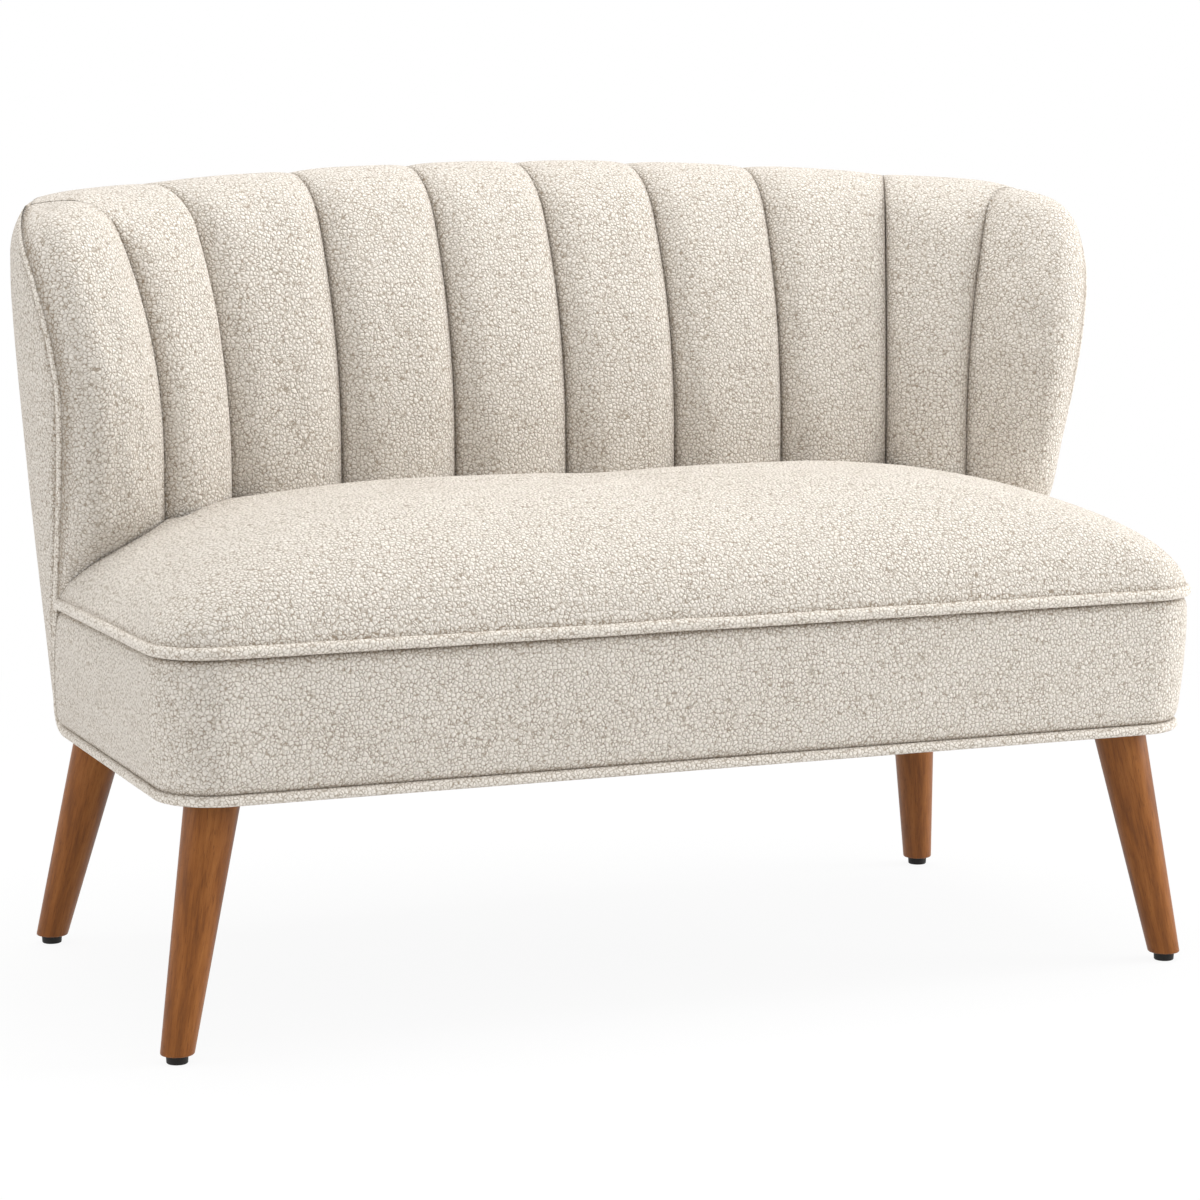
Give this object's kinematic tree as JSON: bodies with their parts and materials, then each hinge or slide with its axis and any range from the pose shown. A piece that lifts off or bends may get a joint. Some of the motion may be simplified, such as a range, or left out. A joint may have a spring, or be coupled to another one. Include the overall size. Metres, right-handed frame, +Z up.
{
  "type": "curved two-seater sofa",
  "caption": "Compact loveseat with a channel-stitched back that wraps into rounded wings, a tight domed seat with piping, cream looped-pile fabric and splayed tapered wooden legs.",
  "frame": {"origin": "on the floor, under the middle of the overall width and depth", "axes": "+X along the width to the right in a front view, +Y to the back, +Z up"},
  "size_m": [1.0998, 0.5798, 0.7692],
  "materials": {
    "cover": "looped-pile fabric",
    "piping": "looped-pile fabric",
    "legs": "satin stain",
    "feet": "matte",
    "frame": "raw timber",
    "fixings": "zinc plated",
    "webbing": "woven",
    "felt": "needle felt",
    "lining": "non-woven"
  },
  "bodies": {
    "sofa": {"back_channel_01": "cover", "back_channel_02": "cover", "back_channel_03": "cover", "back_channel_04": "cover", "back_channel_05": "cover", "back_channel_06": "cover", "back_channel_07": "cover", "back_channel_08": "cover", "back_channel_09": "cover", "back_channel_10": "cover", "back_plank": "frame", "back_rail_middle": "frame", "back_rail_top": "frame", "back_rib_1": "frame", "back_rib_2": "frame", "back_rib_3": "frame", "back_rib_4": "frame", "back_rib_5": "frame", "border_band": "cover", "bottom_welt": "cover", "corner_block_front_left": "frame", "corner_block_front_right": "frame", "corner_block_rear_left": "frame", "corner_block_rear_right": "frame", "dust_cover": "lining", "felt_pad": "felt", "front_rail": "frame", "leg_bolts": "fixings", "leg_front_left": "legs", "leg_front_right": "legs", "leg_nuts": "fixings", "leg_rear_left": "legs", "leg_rear_right": "legs", "outer_back_panel": "cover", "rear_rail": "frame", "seat_cushion": "cover", "seat_piping": "piping", "side_rail_left": "frame", "side_rail_right": "frame", "stretcher_left": "frame", "stretcher_right": "frame", "webbing_crosswise": "webbing", "webbing_lengthwise": "webbing", "wing_post_left": "frame", "wing_post_right": "frame"},
    "glide_front_left": {"foot_front_left": "feet"},
    "glide_front_right": {"foot_front_right": "feet"},
    "glide_rear_left": {"foot_rear_left": "feet"},
    "glide_rear_right": {"foot_rear_right": "feet"}
  },
  "joints": [
    {"name": "level_front_left", "type": "slide", "parent": "sofa", "child": "glide_front_left", "axis": [0, 0, 1], "range_m": [-0.006, 0]},
    {"name": "level_front_right", "type": "slide", "parent": "sofa", "child": "glide_front_right", "axis": [0, 0, 1], "range_m": [-0.006, 0]},
    {"name": "level_rear_left", "type": "slide", "parent": "sofa", "child": "glide_rear_left", "axis": [0, 0, 1], "range_m": [-0.006, 0]},
    {"name": "level_rear_right", "type": "slide", "parent": "sofa", "child": "glide_rear_right", "axis": [0, 0, 1], "range_m": [-0.006, 0]}
  ]
}
